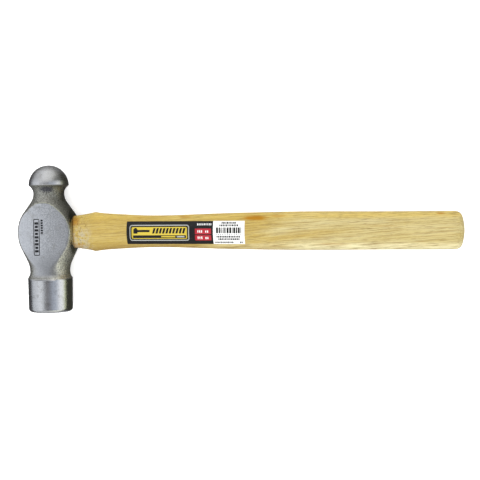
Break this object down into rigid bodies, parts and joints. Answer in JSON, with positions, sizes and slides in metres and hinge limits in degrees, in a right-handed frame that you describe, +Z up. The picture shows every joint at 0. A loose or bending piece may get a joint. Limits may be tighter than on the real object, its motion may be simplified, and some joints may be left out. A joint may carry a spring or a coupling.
{
  "type": "ball peen hammer",
  "caption": "Forged ball peen hammer: turned head with ball, waist and round poll, on a wedged oval wooden handle with a printed sticker",
  "frame": {"origin": "On the surface that the hammer lies on, below the middle of its whole box", "axes": "+X along the handle from the head to the butt, +Y along the head from the striking face to the ball, +Z up, out of the cheek that the sticker is on"},
  "size_m": [0.2693, 0.09, 0.0273],
  "materials": {
    "head_steel": "forged and satin blasted, ball and poll polished, clear lacquer",
    "handle_wood": "pale straight-grained wood under clear varnish",
    "wedge_wood": "raw sawn end grain",
    "wedge_steel": "dull stamped steel",
    "label_print": "glossy printed film"
  },
  "bodies": {
    "root": {"head": "head_steel", "handle": "handle_wood", "wood_wedge": "wedge_wood", "steel_wedge_ball_side": "wedge_steel", "steel_wedge_poll_side": "wedge_steel", "label": "label_print"}
  },
  "joints": []
}
